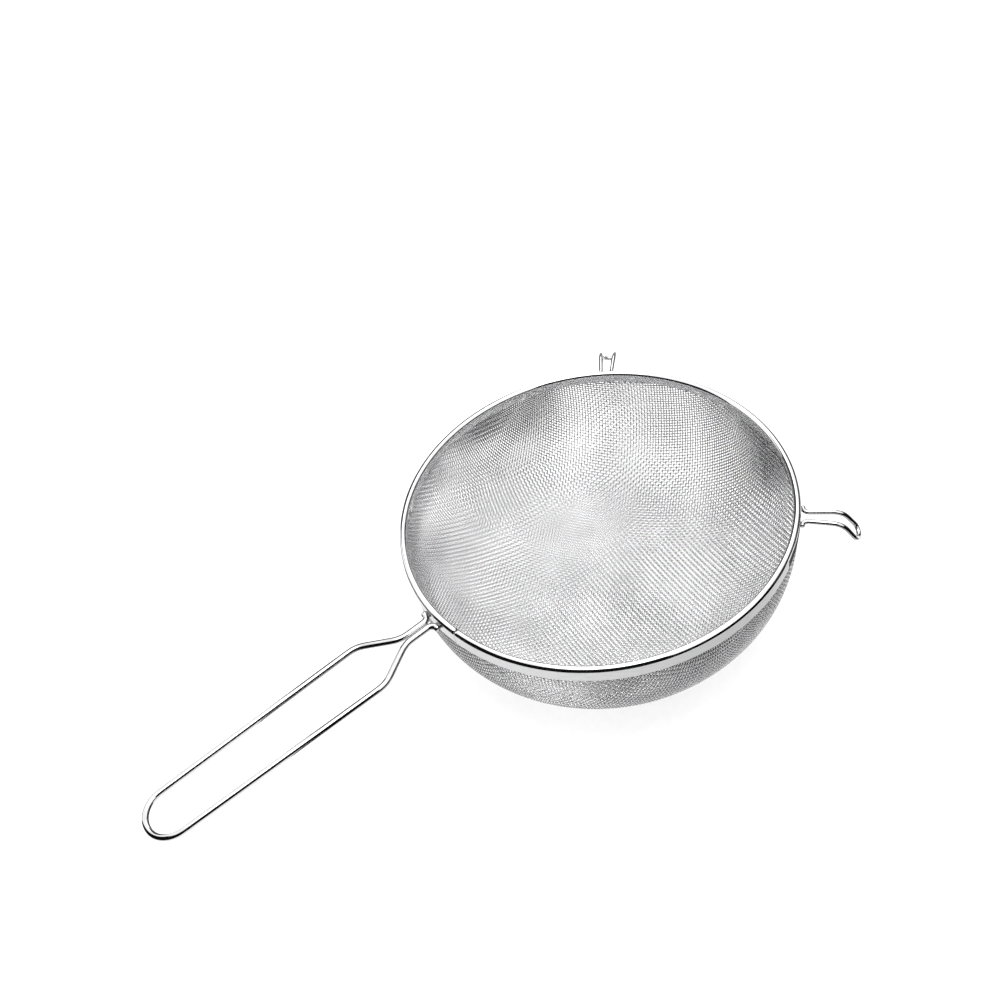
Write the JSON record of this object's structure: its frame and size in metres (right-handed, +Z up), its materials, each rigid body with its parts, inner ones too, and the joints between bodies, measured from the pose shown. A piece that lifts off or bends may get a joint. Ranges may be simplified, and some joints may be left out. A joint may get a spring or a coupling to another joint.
{
  "type": "double sieve strainer",
  "caption": "Round double sieve strainer: nested bowls of woven wire cloth clamped in a folded steel rim, with a long wire loop handle and wire rest hooks.",
  "frame": {"origin": "centre of the flat bottom of the outer sieve bowl, on its outer face", "axes": "+Z up along the axis of the rim, the handle points along -Y, the hooks stand out on the +Y side, +X is to the right seen from the handle"},
  "size_m": [0.2, 0.3585, 0.0808],
  "materials": {
    "rim_steel": "polished stainless steel",
    "core_steel": "plain drawn stainless wire",
    "inner_cloth": "woven stainless wire cloth",
    "outer_cloth": "woven stainless wire cloth",
    "wire_steel": "polished stainless wire"
  },
  "bodies": {
    "root": {"rim_strip": "rim_steel", "rim_core_wire": "core_steel", "inner_sieve": "inner_cloth", "outer_sieve": "outer_cloth", "handle_wire": "wire_steel", "hook_left": "wire_steel", "hook_right": "wire_steel"}
  },
  "joints": []
}
